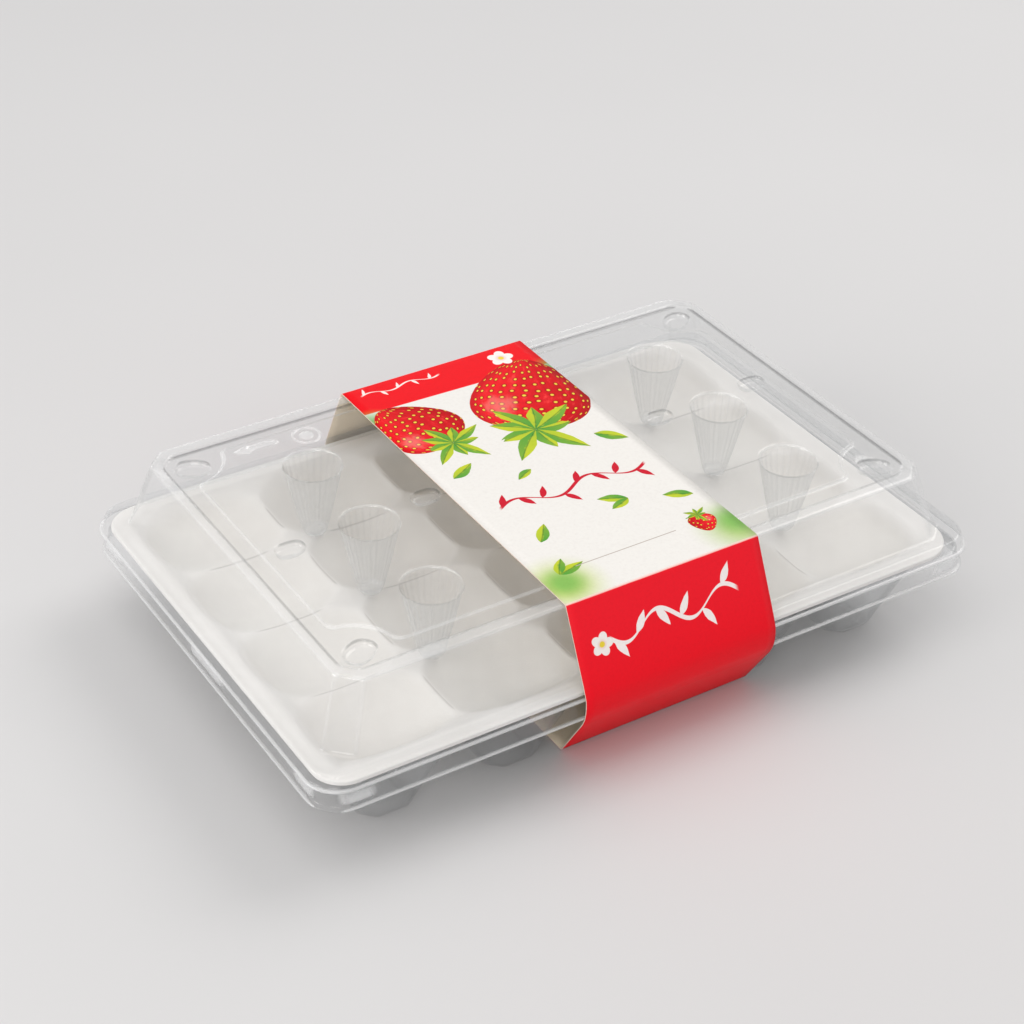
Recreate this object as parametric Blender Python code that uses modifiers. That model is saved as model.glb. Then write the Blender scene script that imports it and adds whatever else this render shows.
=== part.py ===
"""Closed berry box: a clear tray with twenty flat-footed cells, a soft moulded liner, a clear
domed lid with six hanging posts, and a printed card sleeve wrapped round the middle.
Long side along X, front at -Y, the sleeve's underside at z = 0."""

import math

import bmesh
import bpy
from mathutils import Matrix

for old in list(bpy.data.objects):
    bpy.data.objects.remove(old, do_unlink=True)

MM = 0.001

# outline and heights
RIM_X = 145.0        # half length of the tray's outer lip
RIM_Y = 96.0         # half width of the tray's outer lip
RIM_Z = 28.3         # underside of the lip over the ground
CLEAR = 0.3          # gap between pieces that touch
FILM = 0.6           # thickness of the clear sheet

# cells
COLUMNS = 5
ROWS = 4
PITCH_X = 52.8
PITCH_Y = 43.8
GRID_X = -2.2        # the cells sit this far off the middle
FOOT_Z = -27.5       # foot under the lip
WEB_Z = 3.8          # web between cups, over the lip
LEDGE_Z = 8.0        # ledge that carries the liner
CUP_OPENING = (25.2, 20.7, 6.0)   # half length, half width, corner cut
CUP_FOOT = (10.6, 11.2, 5.0)
FOOT_BEVEL = (1.2, 1.1, 0.4)
FOOT_BEVEL_Z = 1.6
TRAY_RIM = (         # inset along X, inset along Y, corner radius, height
    (4.6, 3.4, 10.0, LEDGE_Z),
    (2.2, 2.2, 11.0, LEDGE_Z),
    (1.2, 1.2, 12.0, FILM),
    (0.0, 0.0, 13.0, FILM),
)

# liner
PAD = 2.3
PAD_X = 141.7
PAD_Y = 93.8
PAD_TOP = 10.6
RIDGE_Z = 8.0
DISH = 8.0           # depth of a dish
DISH_X = 25.6
DISH_Y = 21.1
DISH_SHARES = (1.0, 0.74, 0.45)
DISH_CURVE = 2.4     # power of the dish's section
DISH_OVAL = 2.3      # power of its outline
PAD_BORDER = ((4.6, 2.9, 8.0, PAD_TOP - 0.5), (3.4, 2.1, 9.0, PAD_TOP), (0.0, 0.0, 12.0, PAD_TOP))

# lid
LIP_Z = 9.1          # lid's lip
LIP_OUT = 0.8        # how far the lip stands out over the tray's
FLANGE_Z = 14.3
TOP_Z = 41.5
FOOT_X, FOOT_Y = 136.2, 87.4
TOP_X, TOP_Y = 127.6, 81.3
CHAMFER = 7.7
STEP = 1.2           # drop from the top's rim to its panel
PANEL_Z = TOP_Z - STEP
PANEL_X, PANEL_Y = TOP_X - 4.4, TOP_Y - 5.8
SOFTEN = 1.4         # how far a cut corner's ends are eased
POST_X = (-73.5, 86.8)
POST_Y = (-46.5, -1.2, 43.5)
POST_TOP_R = 12.3
POST_END_R = 4.2
POST_END_Z = 9.9
STUD_X, STUD_Y = 113.5, 66.0
STUD_LONG, STUD_WIDE = 6.4, 4.8
STUD_DEPTH = 9.0
STUD_TAPER = 1.2
STUD_OVAL = 2.4

# sleeve
CARD = 0.5
BAND_X = (-40.0, 44.5)
BAND_SKEW = 3.0      # the wrap runs this far off square on the underside
BAND_SKEW_Z = 2.0    # where that begins
SLEEVE_FRONT = (     # inner face, from the top's edge down to the underside
    (-TOP_Y - 0.7, TOP_Z + CLEAR),
    (-88.6, 28.2),
    (-95.2, 14.5),
    (-97.2, 9.5),
    (-97.6, 5.5),
    (-97.0, 1.0),
    (-94.8, -3.6),
    (-78.8, FOOT_Z - CLEAR),
)

PARTS = bpy.data.collections.new("berry_box")
CUTTERS = bpy.data.collections.new("cutters")
CUTTERS.hide_render = True
for group in (PARTS, CUTTERS):
    bpy.context.scene.collection.children.link(group)


def material(name, color, roughness, alpha=1.0):
    mat = bpy.data.materials.new(name)
    mat.use_nodes = True
    shader = mat.node_tree.nodes["Principled BSDF"]
    shader.inputs["Base Color"].default_value = (*color, 1.0)
    shader.inputs["Roughness"].default_value = roughness
    shader.inputs["Metallic"].default_value = 0.0
    shader.inputs["Alpha"].default_value = alpha
    return mat


def add_object(name, bm, mat=None, collection=None):
    """Turn a bmesh in millimetres over the lip's underside into an object in metres.
    An open sheet faces up where it is highest; a closed shape faces outwards."""
    bmesh.ops.remove_doubles(bm, verts=bm.verts, dist=0.02)
    bmesh.ops.recalc_face_normals(bm, faces=bm.faces)
    if any(edge.is_boundary for edge in bm.edges):
        highest = max(bm.faces, key=lambda face: face.calc_center_median().z)
        highest.normal_update()
        if highest.normal.z < 0:
            bmesh.ops.reverse_faces(bm, faces=bm.faces)
    for vert in bm.verts:
        vert.co.z += RIM_Z
        vert.co *= MM
    mesh = bpy.data.meshes.new(name)
    bm.to_mesh(mesh)
    bm.free()
    obj = bpy.data.objects.new(name, mesh)
    (collection or PARTS).objects.link(obj)
    if mat:
        mesh.materials.append(mat)
    return obj


def solidify(obj, thickness, offset):
    mod = obj.modifiers.new("wall", "SOLIDIFY")
    mod.thickness = thickness * MM
    mod.offset = offset
    mod.use_even_offset = True


def boolean(obj, cutter, operation):
    mod = obj.modifiers.new(cutter.name, "BOOLEAN")
    mod.operation = operation
    mod.solver = "EXACT"
    mod.object = cutter
    cutter.hide_render = True
    cutter.display_type = "WIRE"


def bridge(bm, first, second):
    """Quads between two loops of as many points, in the same order."""
    count = len(first)
    for i in range(count):
        j = (i + 1) % count
        bm.faces.new((first[i], first[j], second[j], second[i]))


def loop(bm, points, z):
    return [bm.verts.new((x, y, z)) for x, y in points]


def perimeter(half_x, half_y, along_x, along_y):
    """Points of a rectangle counter-clockwise from its lower left corner."""
    points = []
    for i in range(along_x):
        points.append((-half_x + 2 * half_x * i / along_x, -half_y))
    for i in range(along_y):
        points.append((half_x, -half_y + 2 * half_y * i / along_y))
    for i in range(along_x):
        points.append((half_x - 2 * half_x * i / along_x, half_y))
    for i in range(along_y):
        points.append((-half_x, half_y - 2 * half_y * i / along_y))
    return points


def rounded(half_x, half_y, radius, along_x, along_y, share=2):
    """The same number of points on a rounded rectangle: `share` steps beside a corner make its arc."""
    points = []
    for x, y in perimeter(1.0, 1.0, along_x, along_y):
        step_x = (1.0 - abs(x)) * along_x / 2.0
        step_y = (1.0 - abs(y)) * along_y / 2.0
        sx = math.copysign(1.0, x)
        sy = math.copysign(1.0, y)
        near = max(step_x, step_y)
        if near < share:
            lead = 45.0 * (1.0 - near / share)
            angle = math.radians(90.0 - lead if step_x > step_y else lead)
            if step_x == step_y:
                angle = math.radians(45.0)
            points.append((sx * (half_x - radius + radius * math.cos(angle)),
                           sy * (half_y - radius + radius * math.sin(angle))))
        elif step_x > step_y:
            span = (half_x - radius) * (step_x - share) / (along_x / 2.0 - share)
            points.append((sx * (half_x - radius - span), sy * half_y))
        else:
            span = (half_y - radius) * (step_y - share) / (along_y / 2.0 - share)
            points.append((sx * half_x, sy * (half_y - radius - span)))
    return points


def octagon(half_x, half_y, cut):
    """Sixteen points of a rectangle with cut corners, matching perimeter(.., 4, 4)."""
    points = []
    for x, y in perimeter(1.0, 1.0, 4, 4):
        if abs(x) == 1.0 and abs(y) == 1.0:
            points.append((x * (half_x - cut / 2), y * (half_y - cut / 2)))
        elif abs(y) == 1.0 and x != 0.0:
            points.append((math.copysign(half_x - cut, x), y * half_y))
        elif abs(x) == 1.0 and y != 0.0:
            points.append((x * half_x, math.copysign(half_y - cut, y)))
        else:
            points.append((x * half_x, y * half_y))
    return points


def oval(half_x, half_y, power):
    """Sixteen points of a rounded oval, matching perimeter(.., 4, 4)."""
    points = []
    for i in range(16):
        angle = math.radians(225.0 + 22.5 * i)
        c = math.cos(angle)
        s = math.sin(angle)
        size = (abs(c) ** power + abs(s) ** power) ** (-1.0 / power)
        points.append((half_x * size * c, half_y * size * s))
    return points


def cell_centres():
    for i in range(COLUMNS):
        for j in range(ROWS):
            yield (GRID_X + (i - (COLUMNS - 1) / 2.0) * PITCH_X, (j - (ROWS - 1) / 2.0) * PITCH_Y)


def cells(bm, rings, web):
    """Every cell: its square of the web, then each ring of (points, z), the last one closed."""
    for cx, cy in cell_centres():
        square = perimeter(PITCH_X / 2, PITCH_Y / 2, 4, 4)
        last = loop(bm, [(cx + x, cy + y) for x, y in square], web)
        for points, z in rings:
            ring = loop(bm, [(cx + x, cy + y) for x, y in points], z)
            bridge(bm, last, ring)
            last = ring
        bm.faces.new(last)


def field_edge():
    """Outer boundary of all the cells."""
    around = perimeter(COLUMNS * PITCH_X / 2, ROWS * PITCH_Y / 2, COLUMNS * 4, ROWS * 4)
    return [(GRID_X + x, y) for x, y in around]


def rim(bm, inner_z, half_x, half_y, profile):
    """Rounded rings round the field of cells: each is (inset_x, inset_y, radius, z)."""
    last = loop(bm, field_edge(), inner_z)
    for inset_x, inset_y, radius, z in profile:
        around = rounded(half_x - inset_x, half_y - inset_y, radius, COLUMNS * 4, ROWS * 4)
        ring = loop(bm, around, z)
        bridge(bm, ring, last)
        last = ring


def make_tray():
    bm = bmesh.new()
    foot_x, foot_y, foot_cut = CUP_FOOT
    out_x, out_y, out_cut = FOOT_BEVEL
    floor = FOOT_Z + FILM
    rings = [
        (octagon(*CUP_OPENING), WEB_Z),
        (octagon(foot_x + out_x, foot_y + out_y, foot_cut + out_cut), floor + FOOT_BEVEL_Z),
        (octagon(*CUP_FOOT), floor),
    ]
    cells(bm, rings, WEB_Z)
    rim(bm, WEB_Z, RIM_X, RIM_Y, TRAY_RIM)
    tray = add_object("tray", bm, material("tray_film", (0.86, 0.9, 0.92), 0.08, 0.3))
    solidify(tray, FILM, -1.0)


def make_liner():
    bm = bmesh.new()
    rings = []
    for share in DISH_SHARES:
        deep = DISH * (1.0 - share ** DISH_CURVE)
        rings.append((oval(DISH_X * share, DISH_Y * share, DISH_OVAL), RIDGE_Z - deep))
    cells(bm, rings, RIDGE_Z)
    rim(bm, RIDGE_Z, PAD_X, PAD_Y, PAD_BORDER)
    liner = add_object("liner", bm, material("liner_pad", (0.86, 0.85, 0.83), 0.8))
    solidify(liner, PAD, -1.0)


def corners(half_x, half_y, radius, cut=None):
    """Twenty-four points, six a corner: a round corner, or a straight cut with softened ends."""
    points = []
    for k, (sx, sy) in enumerate(((-1, -1), (1, -1), (1, 1), (-1, 1))):
        for i in range(6):
            step = i if k % 2 else 5 - i
            if cut is None:
                turn = math.radians(18.0 * step)
                back_x = radius * (1.0 - math.sin(turn))
                back_y = radius * (1.0 - math.cos(turn))
            else:
                share = (0.0, 0.1, 0.24, 0.76, 0.9, 1.0)[step]
                back_x = cut * (1.0 - share) + (SOFTEN if step == 0 else 0.0)
                back_y = cut * share + (SOFTEN if step == 5 else 0.0)
            points.append((sx * (half_x - back_x), sy * (half_y - back_y)))
    return points


def cone(bm, x, y, top_r, end_r, top_z, end_z):
    place = Matrix.Translation((x, y, (top_z + end_z) / 2))
    bmesh.ops.create_cone(bm, cap_ends=True, segments=24, radius1=end_r, radius2=top_r,
                          depth=top_z - end_z, matrix=place)


def stud(bm, x, y, half_long, half_wide, top_z, end_z):
    """A tapering oval peg whose long side points at the middle of the lid."""
    turn = math.radians(45.0) * (1 if x * y > 0 else -1)
    top = []
    end = []
    for px, py in oval(1.0, 1.0, STUD_OVAL):
        for ring, shrink, z in ((top, 0.0, top_z), (end, STUD_TAPER, end_z)):
            u = px * (half_long - shrink)
            v = py * (half_wide - shrink)
            along = x + u * math.cos(turn) - v * math.sin(turn)
            across = y + u * math.sin(turn) + v * math.cos(turn)
            ring.append(bm.verts.new((along, across, z)))
    bridge(bm, end, top)
    bm.faces.new(top)
    bm.faces.new(list(reversed(end)))


def make_lid():
    bm = bmesh.new()
    profile = [
        (corners(RIM_X + LIP_OUT, RIM_Y + LIP_OUT, 13.0), LIP_Z),
        (corners(RIM_X - 0.1, RIM_Y - 0.1, 12.5), LIP_Z),
        (corners(RIM_X - 1.0, RIM_Y - 1.0, 11.5), FLANGE_Z),
        (corners(FOOT_X, FOOT_Y, 0.0, CHAMFER + 1.0), FLANGE_Z),
        (corners(TOP_X, TOP_Y, 0.0, CHAMFER), TOP_Z),
        (corners(PANEL_X + 0.8, PANEL_Y + 0.8, 0.0, CHAMFER - 2.2), TOP_Z),
        (corners(PANEL_X, PANEL_Y, 0.0, CHAMFER - 2.5), PANEL_Z),
    ]
    last = None
    for points, z in profile:
        ring = loop(bm, points, z)
        if last:
            bridge(bm, last, ring)
        last = ring
    bm.faces.new(last)
    lid = add_object("lid", bm, material("lid_film", (0.86, 0.9, 0.92), 0.08, 0.3))
    solidify(lid, FILM, -1.0)

    pegs = bmesh.new()
    bores = bmesh.new()
    top = PANEL_Z - CLEAR
    above = PANEL_Z + 1.0
    lean = (POST_TOP_R - POST_END_R) / (PANEL_Z - POST_END_Z)
    for x in POST_X:
        for y in POST_Y:
            cone(pegs, x, y, POST_TOP_R, POST_END_R, top, POST_END_Z)
            cone(bores, x, y, POST_TOP_R + lean - FILM, POST_END_R + (lean - 1.0) * FILM,
                 above, POST_END_Z + FILM)
    end = PANEL_Z - STUD_DEPTH
    for x in (-STUD_X, STUD_X):
        for y in (-STUD_Y, STUD_Y):
            stud(pegs, x, y, STUD_LONG, STUD_WIDE, top, end)
            stud(bores, x, y, STUD_LONG - FILM, STUD_WIDE - FILM, above, end + FILM)
    boolean(lid, add_object("lid_pegs", pegs, collection=CUTTERS), "UNION")
    boolean(lid, add_object("lid_bores", bores, collection=CUTTERS), "DIFFERENCE")


def make_sleeve():
    """A flat band folded round the box: over the top, down the slopes, past the rim and under the feet."""
    bm = bmesh.new()
    sides = ([], [])
    for y, z in SLEEVE_FRONT + tuple((-y, z) for y, z in reversed(SLEEVE_FRONT)):
        low = min(max((BAND_SKEW_Z - z) / (BAND_SKEW_Z - FOOT_Z), 0.0), 1.0)
        for side, x in zip(sides, BAND_X):
            side.append(bm.verts.new((x + BAND_SKEW * low, y, z)))
    bridge(bm, sides[0], sides[1])
    sleeve = add_object("sleeve", bm, material("sleeve_card", (0.8, 0.03, 0.05), 0.35))
    solidify(sleeve, CARD, 1.0)


make_tray()
make_liner()
make_lid()
make_sleeve()
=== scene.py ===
"""A shut berry box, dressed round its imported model: clear tray, soft moulded liner, clear domed
lid with hanging posts, and a printed card sleeve. Sizes are in millimetres, and heights are over
the underside of the tray's lip, unless a name says otherwise."""

import math

import bmesh
import bpy
import numpy as np
from mathutils import Matrix, Vector
from mathutils.geometry import delaunay_2d_cdt


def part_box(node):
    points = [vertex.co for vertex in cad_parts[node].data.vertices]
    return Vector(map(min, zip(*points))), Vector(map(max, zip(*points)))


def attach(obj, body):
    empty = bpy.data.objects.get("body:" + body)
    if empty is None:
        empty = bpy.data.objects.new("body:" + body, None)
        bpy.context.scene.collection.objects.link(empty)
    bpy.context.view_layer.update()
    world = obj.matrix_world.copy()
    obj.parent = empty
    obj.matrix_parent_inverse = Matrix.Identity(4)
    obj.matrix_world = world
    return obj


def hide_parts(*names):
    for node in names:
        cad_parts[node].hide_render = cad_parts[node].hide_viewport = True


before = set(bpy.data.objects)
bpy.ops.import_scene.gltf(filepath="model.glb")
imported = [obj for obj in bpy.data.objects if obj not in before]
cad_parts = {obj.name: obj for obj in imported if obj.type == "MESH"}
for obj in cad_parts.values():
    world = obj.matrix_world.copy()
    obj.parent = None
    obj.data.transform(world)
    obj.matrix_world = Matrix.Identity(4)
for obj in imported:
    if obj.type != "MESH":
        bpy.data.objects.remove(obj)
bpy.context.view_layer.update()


# ---------------------------------------------------------------- camera
# It stands to the front left, a little over half a metre up, and looks down on the box
# through a long lens. The head leans about a degree.
EYE = Vector((-0.4028, -0.6069, 0.5476))
EYE_RIGHT = Vector((0.84688, -0.53140, 0.02015))
EYE_BACK = Vector((-0.44771, -0.69202, 0.56627))
EYE_UP = EYE_BACK.cross(EYE_RIGHT)

camera_data = bpy.data.cameras.new("camera")
camera_data.sensor_width = 36.0
camera_data.lens = 79.61
camera_data.clip_start = 0.05
camera_data.clip_end = 20.0
camera = bpy.data.objects.new("camera", camera_data)
camera.matrix_world = Matrix.Translation(EYE) @ Matrix(
    (EYE_RIGHT, EYE_UP, EYE_BACK)).transposed().to_4x4()
bpy.context.scene.collection.objects.link(camera)
bpy.context.scene.camera = camera


# ---------------------------------------------------------------- liner
# A soft white foam pad, pressed with one shallow dish for each berry. It lies on the tray's
# ledge by its flat border, and each dish hangs a little way into the cup below.
LIP_Z = 28.3
COLUMNS, ROWS = 5, 4
PITCH_X, PITCH_Y = 52.8, 43.8
FIELD_X = -2.2
pad_low, pad_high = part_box("liner")
PAD_X = (pad_high.x - pad_low.x) * 500.0
PAD_Y = (pad_high.y - pad_low.y) * 500.0
PAD_CORNER, FRONT_RIGHT_CORNER = 12.0, 16.5
RIGHT_GAP = 2.8
BACK_LIFT = (1.6, 1.2)
PAD_EDGE = 1.0
BORDER_Z = 10.6
RIDGE_Z = 8.0
DISH_FLOOR_Z = 2.2
DISH_X, DISH_Y = 28.2, 23.4
OUTER_DISH_X, OUTER_DISH_Y = 26.6, 20.6
PAD_THICK = 2.2
JOIN_POWER = 9.0
EDGE_PROFILE = (        # the rounded rim: how far out from the top's edge, and how far down
    (0.45, -0.08), (0.8, -0.3), (0.98, -0.62), (0.86, -0.82), (0.99, -1.02), (1.0, -1.5),
    (0.85, -1.88), (0.45, -2.12))


def cell_centres():
    """Centres of the cells, as one array of x and y."""
    i, j = np.meshgrid(np.arange(COLUMNS), np.arange(ROWS))
    x = FIELD_X + (i.ravel() - (COLUMNS - 1) / 2) * PITCH_X
    return np.stack([x, (j.ravel() - (ROWS - 1) / 2) * PITCH_Y], 1)


def smooth_step(low, high, value):
    """3t^2 - 2t^3, where t runs from 0 at low to 1 at high."""
    t = np.clip((value - low) / (high - low), 0.0, 1.0)
    return t * t * (3.0 - 2.0 * t)


def grid_faces(rows, columns, wrap=False):
    """Quads of a grid of points held row by row; with wrap, its last column meets its first."""
    index = np.arange(rows * columns).reshape(rows, columns)
    if wrap:
        index = np.concatenate([index, index[:, :1]], 1)
    corners = [index[:-1, :-1], index[:-1, 1:], index[1:, 1:], index[1:, :-1]]
    return np.stack(corners, -1).reshape(-1, 4)


def add_mesh(name, points, faces, merge=0.0):
    """An object in metres from points in millimetres over the lip, with faces of any number of
    corners; when merge is given, points closer than merge become one and its faces are turned
    outwards."""
    mesh = bpy.data.meshes.new(name)
    metres = (np.asarray(points, float) + (0.0, 0.0, LIP_Z)) / 1000.0
    mesh.from_pydata(metres.tolist(), [], [list(map(int, face)) for face in faces])
    if merge:
        work = bmesh.new()
        work.from_mesh(mesh)
        bmesh.ops.remove_doubles(work, verts=work.verts, dist=merge / 1000.0)
        bmesh.ops.recalc_face_normals(work, faces=work.faces)
        if any(edge.is_boundary for edge in work.edges):
            highest = max(work.faces, key=lambda face: face.calc_center_median().z)
            if highest.normal.z < 0:
                bmesh.ops.reverse_faces(work, faces=work.faces)
        work.to_mesh(mesh)
        work.free()
    mesh.shade_smooth()
    made = bpy.data.objects.new(name, mesh)
    bpy.context.scene.collection.objects.link(made)
    return made


def round_corners(x, y, half_x, half_y, radius):
    """Turns the square corners of a grid into quarter discs: an offset (a, b) into the corner,
    in radii, becomes a * sqrt(1 - b*b/2), b * sqrt(1 - a*a/2). The radius may differ by point."""
    a = np.clip(np.abs(x) - (half_x - radius), 0.0, None) / radius
    b = np.clip(np.abs(y) - (half_y - radius), 0.0, None) / radius
    back_x = radius * a * (np.sqrt(1.0 - b * b / 2.0) - 1.0)
    back_y = radius * b * (np.sqrt(1.0 - a * a / 2.0) - 1.0)
    return x + np.sign(x) * back_x, y + np.sign(y) * back_y


def pad_height(x, y):
    """The border's height less the dishes: each dish is deep * (1 - r^2.3) with r a rounded-square
    distance from its centre, and where dishes overlap their depths join as a power mean. The back
    border bows up a little."""
    last_x = (COLUMNS - 1) / 2 * PITCH_X
    last_y = (ROWS - 1) / 2 * PITCH_Y
    out = np.maximum(np.abs(x - FIELD_X) - last_x - OUTER_DISH_X, np.abs(y) - last_y - OUTER_DISH_Y)
    top = RIDGE_Z + (BORDER_Z - RIDGE_Z) * smooth_step(-7.0, 0.5, out)
    joined = np.zeros_like(x)
    for cx, cy in cell_centres():
        dx = x - cx
        dy = y - cy
        beyond_x = np.sign(dx) * (cx - FIELD_X) >= last_x - 1.0
        beyond_y = np.sign(dy) * cy >= last_y - 1.0
        a = np.abs(dx) / np.where(beyond_x, OUTER_DISH_X, DISH_X)
        b = np.abs(dy) / np.where(beyond_y, OUTER_DISH_Y, DISH_Y)
        r = (a ** 2.7 + b ** 2.7) ** (1.0 / 2.7)
        deep = (top - DISH_FLOOR_Z) * np.clip(1.0 - r ** 2.3, 0.0, None)
        joined += deep ** JOIN_POWER
    soft = (0.16 * np.sin(x / 7.3 + np.sin(y / 9.1)) * np.sin(y / 6.1 + 0.8)
            + 0.09 * np.sin(x / 3.1 + y / 4.7) * np.sin(x / 5.3 - y / 2.9))
    lift = (smooth_step(55.0, 92.0, y) * smooth_step(141.0, 115.0, np.abs(x))
            * (BACK_LIFT[0] + BACK_LIFT[1] * smooth_step(-20.0, 60.0, x)))
    return top - joined ** (1.0 / JOIN_POWER) + soft * smooth_step(0.5, -6.0, out) + lift


across = np.linspace(-1.0, 1.0, 212) * (PAD_X - PAD_EDGE)
deep_in = np.linspace(-1.0, 1.0, 142) * (PAD_Y - PAD_EDGE)
grid_x, grid_y = np.meshgrid(across, deep_in)
corner_radius = np.where((grid_x > 0) & (grid_y < 0), FRONT_RIGHT_CORNER, PAD_CORNER) - PAD_EDGE
grid_x, grid_y = round_corners(grid_x, grid_y, PAD_X - PAD_EDGE, PAD_Y - PAD_EDGE, corner_radius)
grid_x -= RIGHT_GAP * smooth_step(95.0, 141.0, grid_x)
top_points = np.stack([grid_x, grid_y, pad_height(grid_x, grid_y)], -1).reshape(-1, 3)
bottom_points = top_points - (0.0, 0.0, PAD_THICK)
rows, columns = grid_x.shape
index = np.arange(rows * columns).reshape(rows, columns)
border = np.concatenate([index[0, :-1], index[:-1, -1], index[-1, :0:-1], index[:0:-1, 0]])
edge = top_points[border]
along_edge = np.roll(edge[:, :2], -1, 0) - np.roll(edge[:, :2], 1, 0)
outward = np.stack([along_edge[:, 1], -along_edge[:, 0]], 1)
outward /= np.linalg.norm(outward, axis=1)[:, None]
rings = [np.column_stack([edge[:, :2] + outward * out, edge[:, 2] + down])
         for out, down in EDGE_PROFILE]
count = len(top_points)
around = len(border)
ring_start = 2 * count
chain = [border] + [ring_start + k * around + np.arange(around) for k in range(len(rings))]
chain.append(border + count)
faces = [grid_faces(rows, columns), grid_faces(rows, columns)[:, ::-1] + count]
for upper, lower in zip(chain[:-1], chain[1:]):
    faces.append(np.stack([upper, lower, np.roll(lower, -1), np.roll(upper, -1)], 1))
liner = add_mesh("liner_pad", np.concatenate([top_points, bottom_points, *rings]),
                 np.concatenate(faces))
# How far each point is sunk into a dish; the foam's finish paints shade into the dishes by it.
hollow = liner.data.attributes.new("hollow", "FLOAT", "POINT")
sunk = smooth_step(BORDER_Z - 0.2, BORDER_Z - 5.0, top_points[:, 2])
hollow.data.foreach_set("value", np.concatenate(
    [sunk, sunk, np.zeros(len(rings) * around)]).astype(np.float32))


class Field:
    """A number that varies over a surface. Arithmetic on it adds Math nodes to its finish."""

    def __init__(self, finish, socket):
        self.finish = finish
        self.socket = socket

    def __add__(self, other):
        return self.finish.math("ADD", self, other)

    def __sub__(self, other):
        return self.finish.math("SUBTRACT", self, other)

    def __rsub__(self, other):
        return self.finish.math("SUBTRACT", other, self)

    def __mul__(self, other):
        return self.finish.math("MULTIPLY", self, other)

    def __truediv__(self, other):
        return self.finish.math("DIVIDE", self, other)

    def __pow__(self, other):
        return self.finish.math("POWER", self, other)

    def __abs__(self):
        return self.finish.math("ABSOLUTE", self)

    __radd__ = __add__
    __rmul__ = __mul__


class Finish:
    """One material: its Principled shader and the nodes that feed it."""

    def __init__(self, name, **settings):
        self.material = bpy.data.materials.new(name)
        self.material.use_nodes = True
        self.tree = self.material.node_tree
        self.shader = self.tree.nodes["Principled BSDF"]
        for key, value in settings.items():
            self.feed(self.shader.inputs[key.replace("_", " ")], value)

    def feed(self, socket, value):
        if isinstance(value, Field):
            value = value.socket
        if isinstance(value, bpy.types.NodeSocket):
            self.tree.links.new(value, socket)
        else:
            socket.default_value = value

    def node(self, kind, settings=None, inputs=None):
        made = self.tree.nodes.new("ShaderNode" + kind)
        for key, value in (settings or {}).items():
            setattr(made, key, value)
        for key, value in (inputs or {}).items():
            self.feed(made.inputs[key], value)
        return made

    def math(self, operation, *values):
        made = self.node("Math", {"operation": operation}, dict(enumerate(values)))
        return Field(self, made.outputs[0])

    def clamp(self, value):
        return Field(self, self.node("Clamp", {}, {"Value": value}).outputs[0])

    def ease(self, low, high, value):
        """Smooth step from 0 where value is low to 1 where it is high."""
        made = self.node("MapRange", {"interpolation_type": "SMOOTHSTEP"},
                         {"Value": value, "From Min": low, "From Max": high})
        return Field(self, made.outputs[0])

    def mix(self, share, first, second):
        """Colour between two colours, or sockets of colour."""
        made = self.node("Mix", {"data_type": "RGBA"}, {0: share, 6: first, 7: second})
        return made.outputs[2]

    def place(self):
        """Object coordinates, in metres in the box's own frame."""
        return self.node("TexCoord").outputs["Object"]

    def noise(self, scale, detail=3.0, rough=0.5, where=None):
        """Noise of 0 to 1, with about scale blobs in a metre."""
        made = self.node("TexNoise", {}, {"Vector": where or self.place(), "Scale": scale,
                                          "Detail": detail, "Roughness": rough})
        return Field(self, made.outputs["Fac"])

    def bump(self, height, strength, distance_mm):
        """Feeds the shader's Normal from a height of 0 to 1."""
        made = self.node("Bump", {}, {"Height": height, "Strength": strength,
                                      "Distance": distance_mm / 1000.0})
        self.feed(self.shader.inputs["Normal"], made.outputs[0])


def ink(red, green, blue):
    """A colour of 0 to 255 as linear light."""
    return tuple((c / 255.0 / 12.92 if c < 10 else ((c / 255.0 + 0.055) / 1.055) ** 2.4)
                 for c in (red, green, blue)) + (1.0,)


foam = Finish("liner_foam", Roughness=0.85, Specular_IOR_Level=0.25, Sheen_Weight=0.15,
              Sheen_Roughness=0.5)
cloud = foam.noise(22.0, 3.0, 0.55) * 0.7 + foam.noise(620.0, 4.0, 0.6) * 0.3
# Painted shade: the foam is coloured darker where it is sunk into the dishes than on the border.
painted_shade_foam = foam.mix(foam.ease(0.3, 0.72, cloud), ink(232, 229, 225), ink(239, 237, 233))
high_foam = foam.mix(foam.ease(0.3, 0.72, cloud), ink(241, 239, 236), ink(249, 247, 245))
sunken = Field(foam, foam.node("Attribute", {"attribute_name": "hollow"}).outputs["Fac"])
at = foam.node("SeparateXYZ", {}, {0: foam.place()})
# Painted shade: along the crests between the dishes the foam is coloured grey, where the dish walls
# turn from the light.
crest = foam.math("MINIMUM", *(
    abs(foam.math("PINGPONG", Field(foam, at.outputs[axis]) * 1000.0 - first, pitch / 2.0))
    for axis, first, pitch in ((0, FIELD_X - PITCH_X / 2, PITCH_X), (1, 0.0, PITCH_Y))))
tone = foam.mix(sunken, high_foam, painted_shade_foam)
foam.feed(foam.shader.inputs["Base Color"], foam.mix(
    foam.ease(0.6, 0.2, crest) * foam.ease(0.55, 0.75, sunken) * 0.4, tone, ink(168, 163, 158)))
foam.bump(foam.noise(330.0, 5.0, 0.62) * 0.6 + foam.noise(1500.0, 2.0, 0.5) * 0.4, 0.35, 0.35)
liner.data.materials.append(foam.material)
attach(liner, "root")
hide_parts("liner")


# ---------------------------------------------------------------- tray
# Thin clear sheet, drawn down into a cup for each berry with a cut-cornered flat foot. Round the
# cups a ledge carries the liner, and a skirt with snap lugs ends in a narrow turned-out lip.
FILM = 0.4
WEB_Z = 3.8
LEDGE_Z = 8.0
FOOT_Z = -27.1
CORNER_STEPS = 16
SIDE_X_STEPS, SIDE_Y_STEPS = 58, 40


def round_corner(radius):
    """Insets from both sides along a quarter circle."""
    turn = np.linspace(0.0, math.pi / 2, CORNER_STEPS)
    return np.stack([radius * (1 - np.cos(turn)), radius * (1 - np.sin(turn))], 1)


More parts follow.
